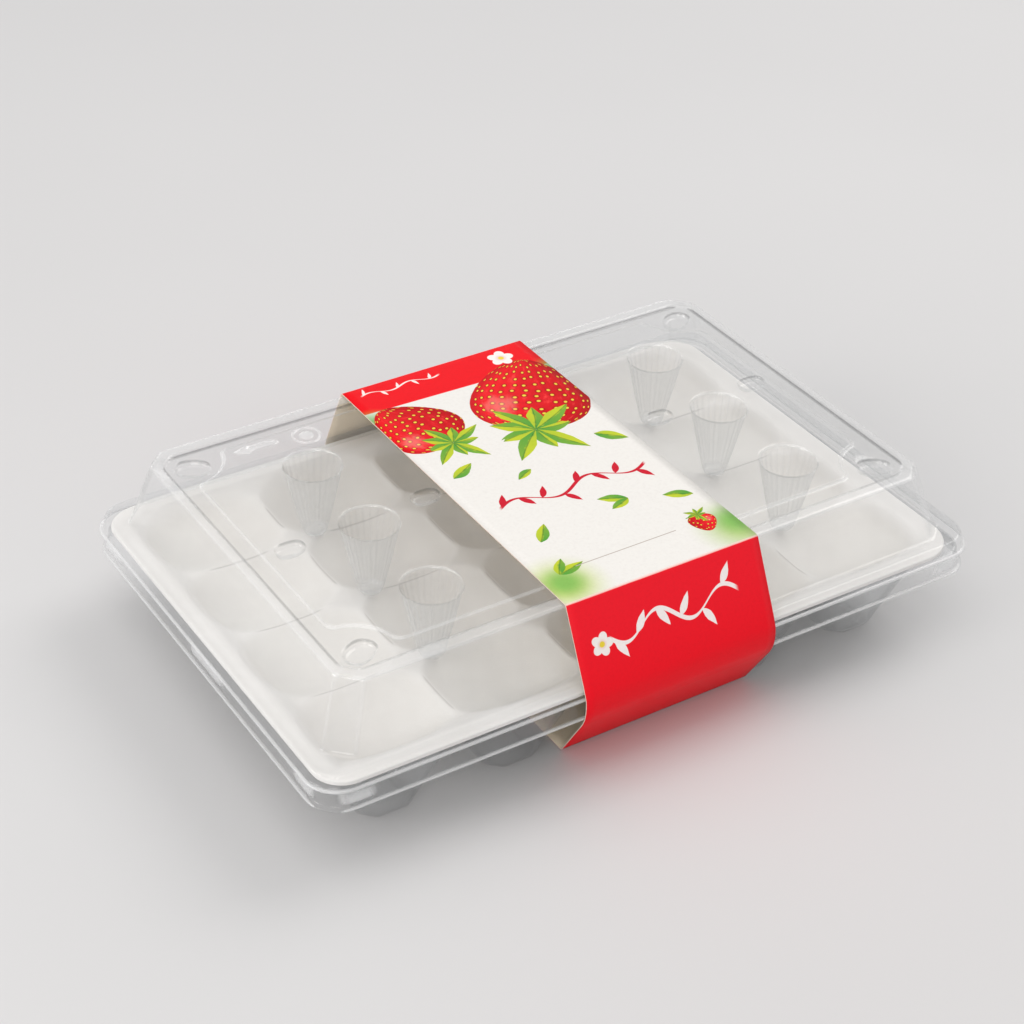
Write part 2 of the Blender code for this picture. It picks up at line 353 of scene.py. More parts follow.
def cut_corner(cut, ease, steps=CORNER_STEPS):
    """Insets along a straight cut at 45 degrees, whose two ends are eased by quadratic curves
    (1-t)^2 a + 2t(1-t) b + t^2 c round their corner b."""
    part = (steps + 2) // 3
    t = np.linspace(0.0, 1.0, part)[:, None]
    slope = ease / math.sqrt(2.0)
    start, bend, end = np.array([0, cut + ease]), np.array([0, cut]), np.array([slope, cut - slope])
    first = (1 - t) ** 2 * start + 2 * t * (1 - t) * bend + t ** 2 * end
    second = first[::-1, ::-1]
    share = np.linspace(0.0, 1.0, steps - 2 * part + 2)[1:-1, None]
    return np.concatenate([first, first[-1] * (1 - share) + second[0] * share, second])


def outline(half_x, half_y, corner, centre=(0.0, 0.0), steps=(SIDE_X_STEPS, SIDE_Y_STEPS)):
    """Closed loop, counter-clockwise from the right side's back corner: the corner's insets
    mirrored to all four corners, with evenly spaced straight runs between."""
    x = half_x - corner[:, 0]
    y = half_y - corner[:, 1]
    quarters = [np.stack([x, y], 1), np.stack([-x, y], 1)[::-1],
                np.stack([-x, -y], 1), np.stack([x, -y], 1)[::-1]]
    runs = []
    for k, number in enumerate((steps[0], steps[1], steps[0], steps[1])):
        here = quarters[k]
        after = quarters[(k + 1) % 4]
        share = np.arange(1, number + 1)[:, None] / (number + 1)
        runs += [here, here[-1] * (1 - share) + after[0] * share]
    return np.concatenate(runs) + centre


class Sheet:
    """Gathers the points and faces of one drawn sheet of plastic."""

    def __init__(self):
        self.points = []
        self.faces = []
        self.total = 0

    def add(self, points, faces):
        self.points.append(points)
        self.faces.extend((faces + self.total).tolist())
        self.total += len(points)

    def skin(self, rings):
        """Quads between rings of as many points; each ring is a loop and its height."""
        levels = [np.column_stack([loop, np.broadcast_to(z, len(loop))]) for loop, z in rings]
        self.add(np.concatenate(levels), grid_faces(len(levels), len(levels[0]), wrap=True))

    def cap(self, loop, z):
        """A fan that closes a loop at its middle."""
        number = len(loop)
        flat_points = np.concatenate([loop, loop.mean(0)[None]])
        points = np.column_stack([flat_points, np.full(number + 1, z)])
        k = np.arange(number)
        self.add(points, np.stack([k, (k + 1) % number, np.full(number, number)], 1))

    def flat(self, outer, holes, z):
        """Triangles between an outer loop and the loops of its holes, all at one height."""
        loops = [outer, *holes]
        corners = np.concatenate(loops)
        edges = []
        start = 0
        for loop in loops:
            k = np.arange(len(loop))
            edges += (np.stack([k, (k + 1) % len(loop)], 1) + start).tolist()
            start += len(loop)
        made = delaunay_2d_cdt([Vector(p) for p in corners.tolist()], edges, [], 1, 1e-5)
        points = np.array([tuple(p) for p in made[0]])
        triangles = np.array(made[2])
        middle = points[triangles].mean(1)
        kept = inside(middle, outer)
        for hole in holes:
            kept &= ~inside(middle, hole)
        self.add(np.column_stack([points, np.full(len(points), z)]), triangles[kept])

    def build(self, name, merge=0.02):
        return add_mesh(name, np.concatenate(self.points), self.faces, merge)


def inside(points, loop):
    """True for each point that a ray to the right leaves the loop from, by counting crossings."""
    x, y = points[:, 0][:, None], points[:, 1][:, None]
    ax, ay = loop[:, 0], loop[:, 1]
    bx, by = np.roll(ax, -1), np.roll(ay, -1)
    rise = np.where(by == ay, 1e-12, by - ay)
    crossed = ((ay > y) != (by > y)) & (x < (bx - ax) * (y - ay) / rise + ax)
    return crossed.sum(1) % 2 == 1


def thicken(piece, thickness):
    """A wall of the sheet's thickness, grown towards its inner side."""
    wall = piece.modifiers.new("wall", "SOLIDIFY")
    wall.thickness = thickness / 1000.0
    wall.offset = -1.0
    wall.use_even_offset = True
    wall.use_quality_normals = True


CORNER_LUG_X, CORNER_LUG_Y, MIDDLE_LUG_Y = 131.5, 80.0, -4.0


def lug_places(x, y):
    """Flat humps, 1 - smooth_step between their ends, at the snap lugs: first those in the long
    sides, one beside each corner, then those in the ends, where one more sits in the middle."""
    front = 1 - smooth_step(5.2, 6.4, np.abs(np.abs(x) - CORNER_LUG_X))
    end = np.maximum(1 - smooth_step(13.0, 14.5, np.abs(y - MIDDLE_LUG_Y)),
                     1 - smooth_step(5.0, 6.2, np.abs(np.abs(y) - CORNER_LUG_Y)))
    return front * (np.abs(y) > 90.0), end * (np.abs(x) > 140.0)


def lugs(loop, out):
    """Moves the loop outwards by out at the snap lugs."""
    front, end = lug_places(loop[:, 0], loop[:, 1])
    return loop + out * np.sign(loop) * np.stack([end, front], 1)


tray_sheet = Sheet()
CUP_STEPS = (5, 4)
CUP_WALL = (            # half length, half width, corner cut, height
    (25.55, 21.05, 6.3, WEB_Z), (25.1, 20.6, 6.1, WEB_Z - 0.12), (24.75, 20.3, 6.0, WEB_Z - 0.5),
    (24.4, 20.05, 6.0, WEB_Z - 1.2), (21.4, 18.1, 5.9, WEB_Z - 8.0),
    (18.2, 16.2, 5.8, WEB_Z - 15.0), (15.0, 14.3, 5.7, WEB_Z - 22.0),
    (12.5, 12.9, 5.5, FOOT_Z + 3.4), (12.0, 12.5, 5.45, FOOT_Z + 2.0),
    (11.5, 12.0, 5.35, FOOT_Z + 0.8), (10.9, 11.4, 5.2, FOOT_Z + 0.15), (10.1, 10.6, 4.9, FOOT_Z),
    (8.3, 8.8, 4.0, FOOT_Z), (7.7, 8.2, 3.8, FOOT_Z + 0.35), (7.0, 7.5, 3.5, FOOT_Z + 0.9),
    (6.4, 6.9, 3.2, FOOT_Z + 1.0))
mouths = []
for centre in cell_centres():
    cup = [(outline(x, y, cut_corner(cut, 1.3, 10), centre, CUP_STEPS), z)
           for x, y, cut, z in CUP_WALL]
    tray_sheet.skin(cup)
    tray_sheet.cap(*cup[-1])
    mouths.append(cup[0][0])
TRAY_RIM = (            # middle in x, half length, half width, corner radius, height, lug
    (FIELD_X, 131.7, 87.3, 6.0, WEB_Z, 0), (FIELD_X, 132.3, 87.7, 6.4, WEB_Z + 0.1, 0),
    (-1.8, 133.6, 88.6, 6.9, WEB_Z + 0.8, 0), (-0.5, 138.6, 91.5, 9.2, LEDGE_Z - 0.9, 0),
    (-0.2, 139.6, 92.1, 9.8, LEDGE_Z - 0.15, 0), (0, 140.3, 92.6, 10.2, LEDGE_Z, 0),
    (0, 142.1, 93.6, 11.0, LEDGE_Z, 0), (0, 142.7, 94.0, 11.3, LEDGE_Z - 0.2, 0),
    (0, 142.9, 94.2, 11.5, LEDGE_Z - 0.8, 0), (0, 143.0, 94.3, 11.6, 6.6, 0),
    (0, 143.1, 94.4, 11.7, 6.0, 0.75), (0, 143.35, 94.6, 11.8, 4.0, 0.9),
    (0, 143.5, 94.75, 11.9, 2.4, 0.8), (0, 143.6, 94.8, 12.0, 1.9, 0),
    (0, 143.7, 94.9, 12.0, 1.1, 0), (0, 143.95, 95.1, 12.2, 0.72, 0),
    (0, 144.4, 95.5, 12.6, 0.6, 0), (0, 145.0, 96.05, 13.0, 0.58, 0),
    (0, 145.35, 96.4, 13.2, 0.4, 0), (0, 145.45, 96.5, 13.3, 0.0, 0))
tray_rim = [(lugs(outline(x, y, round_corner(r), (cx, 0.0)), bulge), z)
            for cx, x, y, r, z, bulge in TRAY_RIM]
tray_sheet.flat(tray_rim[0][0], mouths, WEB_Z)
tray_sheet.skin(tray_rim)
tray = tray_sheet.build("tray_film")
thicken(tray, FILM)


def mark_painted_light(piece, edge):
    """Keeps a number for each point, for the finish to read: 1 where a painted highlight makes the
    sheet look white and -1 where painted shade makes it look dark."""
    layer = piece.data.attributes.new("edge", "FLOAT", "POINT")
    layer.data.foreach_set("value", np.clip(edge, -1.0, 1.0).astype(np.float32))


def points_of(piece):
    """Points and their normals, the points in millimetres over the lip."""
    number = len(piece.data.vertices)
    points, normals = np.empty(number * 3), np.empty(number * 3)
    piece.data.vertices.foreach_get("co", points)
    piece.data.vertex_normals.foreach_get("vector", normals)
    return points.reshape(-1, 3) * 1000.0 - (0.0, 0.0, LIP_Z), normals.reshape(-1, 3)


def clear_sheet(name, haze, haze_and_shade_tone):
    """Clear plastic: light passes straight through, and a grey veil grows from a faint haze as
    facing^3 towards a glancing look, a painted shade for the darker reflections at glancing edges.
    Marked edges get painted highlights and painted shade, and 0.025 + 0.6 * facing^5 of the light
    is mirrored."""
    made = Finish(name, Roughness=0.3, IOR=1.57)
    edge = Field(made, made.node("Attribute", {"attribute_name": "edge"}).outputs["Fac"])
    facing = Field(made, made.node("LayerWeight", {}, {"Blend": 0.5}).outputs["Facing"])
    # Along the marked edges the colour is whitened by painted highlights and darkened by painted
    # shade.
    plain = made.mix(made.clamp(edge * 3.0), haze_and_shade_tone, ink(246, 247, 248))
    made.feed(made.shader.inputs["Base Color"],
              made.mix(made.clamp(edge * -3.0), plain, ink(62, 64, 68)))
    veil_share = haze + facing ** 3.0 * 0.2 + abs(edge) * 0.4
    through = made.node("BsdfTransparent", {}, {"Color": (0.992, 0.994, 0.995, 1.0)})
    veil = made.node("MixShader", {}, {0: made.clamp(veil_share), 1: through.outputs[0],
                                       2: made.shader.outputs[0]})
    mirror = made.node("BsdfGlossy", {}, {"Color": (1, 1, 1, 1), "Roughness": 0.05})
    both = made.node("MixShader", {}, {0: made.clamp(0.025 + facing ** 5.0 * 0.6),
                                       1: veil.outputs[0], 2: mirror.outputs[0]})
    made.feed(made.tree.nodes["Material Output"].inputs["Surface"], both.outputs[0])
    return made.material


place, _ = points_of(tray)
TRAY_LONGER = 49.0      # how much the half length exceeds the half width
reach = np.maximum(np.abs(place[:, 0]), np.abs(place[:, 1]) + TRAY_LONGER)
on_lug = (np.maximum(*lug_places(place[:, 0], place[:, 1]))
          * (place[:, 2] > 2.1) * (place[:, 2] < 6.2))
# Painted highlights whiten the tray's lip and its snap lugs.
mark_painted_light(tray, smooth_step(143.9, 144.9, reach) + 0.6 * on_lug)
tray.data.materials.append(clear_sheet("tray_plastic", 0.012, ink(150, 154, 158)))
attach(tray, "root")
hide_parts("tray")


# ---------------------------------------------------------------- lid
# Thinner clear sheet, drawn up into a dome with cut corners. Its top has a raised band, a panel
# with scooped corners, six fluted posts that keep stacked boxes apart, small studs and dimples.
PANEL_Z = 40.3
CENTRE_Z = 41.2
TOP_Z = 41.5
POST_X, POST_Y = (-73.5, 86.8), (43.5, -1.2, -46.5)
SCOOP = 17.2
CENTRE_X, CENTRE_Y, CENTRE_BACK = 118.0, 70.0, 1.5

LID_WALL = (            # half length, half width, corner, height
    (145.85, 96.85, round_corner(13.3), 8.7), (145.8, 96.8, round_corner(13.2), 9.15),
    (145.5, 96.5, round_corner(13.0), 9.5), (145.0, 96.0, round_corner(12.8), 9.6),
    (144.65, 95.65, round_corner(12.6), 9.75), (144.45, 95.45, round_corner(12.4), 10.3),
    (144.1, 95.1, round_corner(12.2), 12.4), (143.95, 94.95, round_corner(12.1), 13.5),
    (143.7, 94.7, round_corner(12.0), 14.1), (143.2, 94.2, round_corner(11.7), 14.45),
    (142.4, 93.5, round_corner(11.2), 14.55), (141.6, 92.8, round_corner(10.8), 14.4),
    (140.9, 92.1, round_corner(10.5), 14.3), (138.0, 89.2, cut_corner(8.6, 2.4), 14.3),
    (137.2, 88.4, cut_corner(8.7, 2.0), 14.38), (136.6, 87.9, cut_corner(8.7, 1.8), 14.7),
    (136.15, 87.5, cut_corner(8.7, 1.7), 15.5), (134.9, 86.6, cut_corner(8.6, 1.6), 19.5),
    (133.3, 85.4, cut_corner(8.4, 1.6), 24.6), (131.6, 84.2, cut_corner(8.2, 1.6), 29.9),
    (129.9, 83.0, cut_corner(8.0, 1.6), 35.2), (128.2, 81.8, cut_corner(7.8, 1.6), 40.2),
    (127.95, 81.6, cut_corner(7.7, 1.7), 40.75), (127.5, 81.2, cut_corner(7.6, 1.9), 41.2),
    (126.8, 80.5, cut_corner(7.4, 2.2), 41.46), (126.0, 79.7, cut_corner(7.2, 2.4), TOP_Z),
    (125.2, 77.0, cut_corner(6.4, 2.4), TOP_Z), (124.7, 76.4, cut_corner(6.2, 2.2), 41.4),
    (124.3, 75.9, cut_corner(6.0, 2.1), 41.0), (124.05, 75.6, cut_corner(5.9, 2.0), 40.55),
    (123.7, 75.2, cut_corner(5.8, 1.9), 40.33), (122.9, 74.4, cut_corner(5.6, 1.9), PANEL_Z))


def scooped_corner(radius, ease):
    """Insets along an arc that bites into the corner, eased into both sides by small arcs that
    touch it: their centres lie ease inside the side and radius + ease from the corner."""
    reach = math.sqrt((radius + ease) ** 2 - ease ** 2)
    turn = math.atan2(ease, reach)
    part = CORNER_STEPS // 4
    first_turn = np.linspace(math.pi / 2, turn, part + 1)[:-1]
    first = np.stack([ease - ease * np.sin(first_turn), reach - ease * np.cos(first_turn)], 1)
    bite = np.linspace(math.pi / 2 - turn, turn, CORNER_STEPS - 2 * part)
    middle = np.stack([radius * np.cos(bite), radius * np.sin(bite)], 1)
    return np.concatenate([first, middle, first[::-1, ::-1]])


def oval(centre, half_long, half_wide, degrees=0.0, power=2.3, steps=40):
    """Loop of a rounded oval |u/a|^p + |v/b|^p = 1, its long side turned by so many degrees."""
    turn = np.arange(steps) / steps * 2 * math.pi
    c, s = np.cos(turn), np.sin(turn)
    size = (np.abs(c) ** power + np.abs(s) ** power) ** (-1.0 / power)
    u, v = half_long * size * c, half_wide * size * s
    lean = math.radians(degrees)
    return np.stack([u * math.cos(lean) - v * math.sin(lean),
                     u * math.sin(lean) + v * math.cos(lean)], 1) + centre


def mitred(corners, inset, steps):
    """A polygon's sides moved inwards: each corner goes by inset * (n + m) / (1 + n.m), with n and
    m the inward normals of its two sides. Each side is then cut into so many steps."""
    side = np.roll(corners, -1, 0) - corners
    side /= np.linalg.norm(side, axis=1)[:, None]
    after = np.stack([-side[:, 1], side[:, 0]], 1)
    before = np.roll(after, 1, 0)
    moved = corners + inset * (after + before) / (1.0 + (after * before).sum(1))[:, None]
    share = (np.arange(steps) / steps)[None, :, None]
    after = np.roll(moved, -1, 0)
    return (moved[:, None] * (1 - share) + after[:, None] * share).reshape(-1, 2)


lid_sheet = Sheet()
lid_sheet.skin([(outline(x, y, corner), z) for x, y, corner, z in LID_WALL])
panel_edge = outline(*LID_WALL[-1][:3])

panel_holes = []
STUDS = ((-113.6, -66.0), (-113.6, 66.0), (113.6, -66.0), (113.6, 66.0))
for x, y in STUDS:
    stud = [(oval((x, y), a, b, 30.0 if x * y > 0 else -30.0), PANEL_Z + dz) for a, b, dz in (
        (7.4, 5.8, 0.0), (6.9, 5.3, -0.15), (6.5, 4.9, -0.6), (6.3, 4.7, -1.3),
        (6.0, 4.4, -1.9), (5.4, 3.8, -2.3), (4.4, 2.8, -2.4), (2.6, 1.4, -2.4))]
    lid_sheet.skin(stud)
    lid_sheet.cap(*stud[-1])
    panel_holes.append(stud[0][0])

step = [(outline(CENTRE_X - inset, CENTRE_Y - inset, scooped_corner(SCOOP, 4.0),
                 (0.0, CENTRE_BACK)), z)
        for inset, z in ((0.0, PANEL_Z), (0.4, PANEL_Z + 0.1), (0.7, PANEL_Z + 0.4),
                         (0.9, CENTRE_Z - 0.25), (1.2, CENTRE_Z + 0.08), (1.55, CENTRE_Z + 0.12),
                         (1.9, CENTRE_Z + 0.03), (2.2, CENTRE_Z))]
lid_sheet.skin(step)
lid_sheet.flat(panel_edge, panel_holes + [step[0][0]], PANEL_Z)

centre_holes = []
POST_STEPS = 144
FLUTES = 24
POST_WALL = (           # radius, height under the panel, depth of the flutes
    (12.5, 0.0, 0.0), (11.95, -0.08, 0.0), (11.5, -0.3, 0.0), (11.15, -0.75, 0.0),
    (10.95, -1.4, 0.04), (10.4, -4.4, 0.22), (9.3, -9.4, 0.3), (8.2, -14.6, 0.3),
    (7.0, -19.6, 0.28), (5.75, -24.8, 0.25), (4.75, -28.7, 0.2), (4.45, -29.9, 0.12),
    (4.1, -30.6, 0.05), (3.5, -31.0, 0.0), (2.4, -31.2, 0.0))
turn = np.arange(POST_STEPS) / POST_STEPS * 2 * math.pi
for x in POST_X:
    for y in POST_Y:
        post = []
        for radius, dz, deep in POST_WALL:
            r = radius - deep * (0.5 - 0.5 * np.cos(turn * FLUTES))
            ring = np.stack([x + r * np.cos(turn), y + r * np.sin(turn)], 1)
            post.append((ring, CENTRE_Z + dz))
        lid_sheet.skin(post)
        lid_sheet.cap(*post[-1])
        centre_holes.append(post[0][0])

DIMPLES = ((-106.5, -1.0), (-47.0, 3.5), (61.8, 5.2), (109.5, 7.6))
for centre in DIMPLES:
    dimple = [(oval(centre, a, b, 0.0, 2.8), CENTRE_Z + dz) for a, b, dz in (
        (6.1, 4.3, 0.0), (5.75, 3.95, -0.1), (5.5, 3.7, -0.5), (5.3, 3.5, -1.4), (5.0, 3.2, -2.1),
        (4.5, 2.7, -2.4), (3.4, 1.8, -2.45))]
    lid_sheet.skin(dimple)
    lid_sheet.cap(*dimple[-1])
    centre_holes.append(dimple[0][0])

STAMP = (-66.0, 62.9)
seal = [(oval(STAMP, r, r, 0.0, 2.0, 48), CENTRE_Z + dz) for r, dz in (
    (6.2, 0.0), (5.9, 0.12), (5.6, 0.42), (5.2, 0.42), (4.9, 0.12), (4.6, 0.0), (3.1, 0.0),
    (2.8, 0.12), (2.5, 0.42), (1.6, 0.5))]
lid_sheet.skin(seal)
lid_sheet.cap(*seal[-1])
centre_holes.append(seal[0][0])

TAIL, HEAD, TIP, ARROW_Y = -77.5, -90.0, -96.5, 64.8
SHAFT, BARB = 1.3, 3.2
corners = np.array([(TAIL, SHAFT), (HEAD, SHAFT), (HEAD, BARB), (TIP, 0.0), (HEAD, -BARB),
                    (HEAD, -SHAFT), (TAIL, -SHAFT)])
arrow = [(mitred(corners + (0.0, ARROW_Y), inset, 5), CENTRE_Z + dz)
         for inset, dz in ((0.0, 0.0), (0.16, 0.12), (0.36, 0.42), (0.55, 0.46))]
lid_sheet.skin(arrow)
lid_sheet.flat(arrow[-1][0], [], arrow[-1][1])
centre_holes.append(arrow[0][0])

lid_sheet.flat(step[-1][0], centre_holes, CENTRE_Z)
lid = lid_sheet.build("lid_film")
thicken(lid, FILM * 0.9)

place, facing_out = points_of(lid)
high = place[:, 2]
LID_LONGER = 48.5       # how much the half length exceeds the half width
FRONT_LEFT = (-0.54, -0.84)


def round_about(x, y):
    """How far each point is from (x, y), and how much it lies to the front left, from -1 to 1."""
    dx, dy = place[:, 0] - x, place[:, 1] - y
    away = np.hypot(dx, dy)
    return away, (dx * FRONT_LEFT[0] + dy * FRONT_LEFT[1]) / np.maximum(away, 1.0)


# Painted highlights make the sheet look white at its lip, at the band's shoulders, at the step, on
# the cut corners and in streaks on its slanting walls, and painted shade makes it dark in the
# crease inside the band and in the near side of a throat.
reach = np.maximum(np.abs(place[:, 0]), np.abs(place[:, 1]) + LID_LONGER)
band = (reach > 123.0) & (high > 39.0)
lid_painted_light = 0.9 * smooth_step(9.72, 9.52, high) * (reach > 140.0)
turned_by = np.degrees(np.arctan2(np.abs(facing_out[:, 1]), np.abs(facing_out[:, 0])))
bend = smooth_step(18.0, 4.0, np.abs(np.abs(turned_by - 45.0) - 22.5))
facet = smooth_step(24.0, 12.0, np.abs(turned_by - 45.0))
lid_painted_light += ((0.16 * bend + 0.07 * facet) * (high > 15.4) * (high < 41.0)
         * (np.abs(place[:, 0]) > 115.0) * (np.abs(place[:, 1]) > 68.0))
lid_painted_light += band * (0.5 * smooth_step(1.0, 0.2, np.abs(high - 41.0)) * (reach > 126.4)
                + 0.3 * smooth_step(0.25, 0.05, np.abs(high - 41.43)) * (reach < 126.4))
lid_painted_light -= 0.75 * band * (reach < 124.6) * smooth_step(0.3, 0.1, np.abs(high - 40.5))
lid_painted_light += 0.4 * (reach < 120.0) * (high > 40.35) * (high < 41.15)
# Each post gets painted highlights along its flutes and at its foot, and round its throat painted
# shade on the near side and a painted highlight on the far side.
for x in POST_X:
    for y in POST_Y:
        away, nearer = round_about(x, y)
        lid_painted_light[(away < 14.0) & (high > 38.0)] = 0.0
        flute = np.cos(np.arctan2(place[:, 1] - y, place[:, 0] - x) * FLUTES)
        lid_painted_light += ((0.0675 + 0.0825 * smooth_step(0.2, 0.9, flute))
                 * (away < 12.3) * (high < 40.0) * (high > 10.5))
        throat = smooth_step(0.45, 0.15, np.abs(away - 11.3)) * (high > 40.0)
        lid_painted_light -= 0.5 * throat * smooth_step(-0.3, 0.5, nearer)
        lid_painted_light += 0.35 * throat * smooth_step(-0.1, -0.7, nearer)
        lid_painted_light += 0.22 * (away < 4.6) * (high < 12.0)
# Round each dimple and stud, painted shade darkens the far side of the rim and a painted highlight
# lightens the floor.
for centres, level in ((DIMPLES, CENTRE_Z), (STUDS, PANEL_Z)):
    for x, y in centres:
        away, nearer = round_about(x, y)
        rim = (away < 8.0) * smooth_step(0.75, 0.5, np.abs(level - 0.35 - high))
        lid_painted_light[(away < 8.0) & (high < level - 0.02)] = 0.0
        lid_painted_light -= 0.5 * rim * (high < level - 0.02) * smooth_step(-0.1, -0.6, nearer)
        lid_painted_light += 0.14 * (away < 7.0) * (high < level - 1.8) * (high > level - 3.0)
# The raised stamp and arrow get painted highlights.
raised = high > CENTRE_Z + 0.05
lid_painted_light += 0.45 * (round_about(*STAMP)[0] < 6.1) * raised
lid_painted_light += 0.5 * (np.abs(place[:, 1] - ARROW_Y) < BARB + 0.2) * (place[:, 0] < TAIL + 0.1) * raised
# Streaks of painted highlight run over the slanting walls.
wander = (0.5 + 0.25 * np.sin(place[:, 0] / 1.7 + np.sin(place[:, 1] / 3.1))
          + 0.25 * np.sin(place[:, 1] / 2.3 - np.sin(place[:, 0] / 4.3)))
slant = ((1.0 - np.abs(facing_out[:, 2]))
         * (0.2 + 1.6 * np.abs(facing_out[:, 0] * facing_out[:, 1])))
lid_painted_light += 0.2 * slant * wander ** 2 * (lid_painted_light >= 0.0) * (high > 14.4) * (reach > 126.0)
mark_painted_light(lid, lid_painted_light)
lid.data.materials.append(clear_sheet("lid_plastic", 0.006, ink(204, 207, 209)))
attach(lid, "root")
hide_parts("lid")


# ---------------------------------------------------------------- sleeve
# One band of coated card, wrapped round the shut box: flat over the lid, down its slopes, bowed
# round the rim and flat under the feet. It is printed outside and bare greyish cream inside.
CARD = 0.45
BAND_LEFT, BAND_RIGHT = -40.0, 44.5
SKEW = 3.0
FRONT_PATH = ((-97.2, 9.5), (-97.6, 5.5), (-97.0, 1.0), (-94.8, -3.6))
TOP_FOLD, SLOPE_END, UNDER_FOLD = (-82.0, 41.8), (-95.2, 14.5), (-78.8, -27.8)


def smooth_path(points, per_span):
    """Catmull-Rom curve through the points."""
    p = np.concatenate([points[:1] * 2 - points[1:2], points, points[-1:] * 2 - points[-2:-1]])
    t = np.linspace(0.0, 1.0, per_span, endpoint=False)[:, None]
    spans = [0.5 * (2 * b + (c - a) * t + (2 * a - 5 * b + 4 * c - d) * t ** 2
                    + (3 * b - a - 3 * c + d) * t ** 3)
             for a, b, c, d in zip(p[:-3], p[1:-2], p[2:-1], p[3:])]
    return np.concatenate([*spans, points[-1:]])


def eased_fold(before, fold, after, reach, steps=7):
    """A quadratic curve round a fold, from reach before it to reach after it."""
    start = fold + (before - fold) / np.linalg.norm(before - fold) * reach
    end = fold + (after - fold) / np.linalg.norm(after - fold) * reach
    t = np.linspace(0.0, 1.0, steps)[:, None]
    return (1 - t) ** 2 * start + 2 * t * (1 - t) * fold + t ** 2 * end


top_fold, under_fold, slope_end = (np.array(p) for p in (TOP_FOLD, UNDER_FOLD, SLOPE_END))
bow = smooth_path(np.array([SLOPE_END, *FRONT_PATH]), 8)
share = np.linspace(0.0, 1.0, 14)[1:-1, None]
straight_down = top_fold * (1 - share) + slope_end * share
straight_under = bow[-1] * (1 - share) + under_fold * share
top_run = np.linspace(-78.0, 0.0, 20)[:, None] * (1, 0) + (0, top_fold[1])
under_run = np.linspace(0.0, -74.0, 16)[:, None] * (1, 0) + (0, under_fold[1])
half = np.concatenate([
    under_run[1:], eased_fold(under_run[-1], under_fold, bow[-1], 1.6), straight_under[::-1],
    bow[::-1], straight_down[::-1],
    eased_fold(slope_end, top_fold, top_run[0], 0.9), top_run[:-1]])
path = np.concatenate([half, [top_run[-1]], half[::-1] * (-1, 1), [under_run[0]]])
step_long = np.linalg.norm(np.roll(path, -1, 0) - path, axis=1)
travel = np.concatenate([[0.0], np.cumsum(step_long)])
WRAP = travel[-1]
FRONT_FOLD = travel[np.linalg.norm(path - top_fold, axis=1).argmin()]
TOP_MIDDLE = travel[len(half)]
tangent = np.roll(path, -1, 0) - np.roll(path, 1, 0)
tangent /= np.linalg.norm(tangent, axis=1)[:, None]
normal = np.stack([tangent[:, 1], -tangent[:, 0]], 1)
if normal[len(half)][1] < 0:
    normal = -normal

ACROSS_STEPS = 22
span = np.linspace(BAND_LEFT, BAND_RIGHT, ACROSS_STEPS)
low = np.clip((2.0 - path[:, 1]) / (2.0 - under_fold[1]), 0.0, 1.0)
section = np.concatenate([np.stack([span, np.full(ACROSS_STEPS, CARD)], 1),
                          np.stack([span[::-1], np.zeros(ACROSS_STEPS)], 1)])
sx = section[None, :, 0] + SKEW * low[:, None]
sy = path[:, :1] + normal[:, :1] * section[None, :, 1]
sz = path[:, 1:] + normal[:, 1:] * section[None, :, 1]
wrap_rows, wrap_columns = sx.shape
points = np.stack([sx, sy, sz], -1).reshape(-1, 3)
index = np.arange(wrap_rows * wrap_columns).reshape(wrap_rows, wrap_columns)
after_row = np.roll(index, -1, 0)
after_column = np.roll(index, -1, 1)
after_both = np.roll(after_row, -1, 1)
faces = np.stack([index, after_row, after_both, after_column], -1).reshape(-1, 4)
sleeve = add_mesh("sleeve_card", points, faces)
repair = bmesh.new()
repair.from_mesh(sleeve.data)
bmesh.ops.recalc_face_normals(repair, faces=repair.faces)
repair.to_mesh(sleeve.data)
repair.free()

row_of = np.repeat(np.arange(wrap_rows), wrap_columns)
column_of = np.tile(np.arange(wrap_columns), wrap_rows)
printed = column_of < ACROSS_STEPS - 1
bare = (column_of >= ACROSS_STEPS) & (column_of < wrap_columns - 1)
sleeve.data.polygons.foreach_set(
    "material_index", np.where(printed, 0, np.where(bare, 1, 2)).astype(np.int32))
wrap_map = sleeve.data.uv_layers.new(name="wrap")
loop_vertex = np.empty(len(sleeve.data.loops), np.int32)
sleeve.data.loops.foreach_get("vertex_index", loop_vertex)
loop_face = np.repeat(np.arange(len(faces)), 4)
u = (section[loop_vertex % wrap_columns, 0] - BAND_LEFT) / (BAND_RIGHT - BAND_LEFT)
v = travel[loop_vertex // wrap_columns]
closing = (loop_vertex // wrap_columns == 0) & (row_of[loop_face] == wrap_rows - 1)
v = np.where(closing, WRAP, v) / WRAP
wrap_map.data.foreach_set("uv", np.stack([u, v], 1).astype(np.float32).ravel())

RED = ink(240, 10, 26)
PAPER_WHITE = ink(238, 236, 232)
LEAF_GREEN, LEAF_DARK = ink(74, 158, 62), ink(22, 104, 46)
LIME, SEED = ink(196, 208, 48), ink(240, 214, 70)

card = Finish("sleeve_print", Roughness=0.42, Specular_IOR_Level=0.1, Coat_Weight=0.02,
              Coat_Roughness=0.25)
where = card.node("SeparateXYZ", {}, {0: card.node("UVMap", {"uv_map": "wrap"}).outputs[0]})
px = Field(card, where.outputs[0]) * (BAND_RIGHT - BAND_LEFT) + BAND_LEFT
travelled = Field(card, where.outputs[1]) * WRAP
py = travelled - TOP_MIDDLE
grain = card.noise(900.0, 2.0, 0.5)
brush = card.noise(210.0, 4.0, 0.6)


def turned(x, y, centre, degrees):
    """Coordinates along and across a line that leaves centre at so many degrees."""
    lean = math.radians(degrees)
    dx = x - centre[0]
    dy = y - centre[1]
    return dx * math.cos(lean) + dy * math.sin(lean), dy * math.cos(lean) - dx * math.sin(lean)


def paint(under, share, colour):
    return card.mix(share, under, colour)


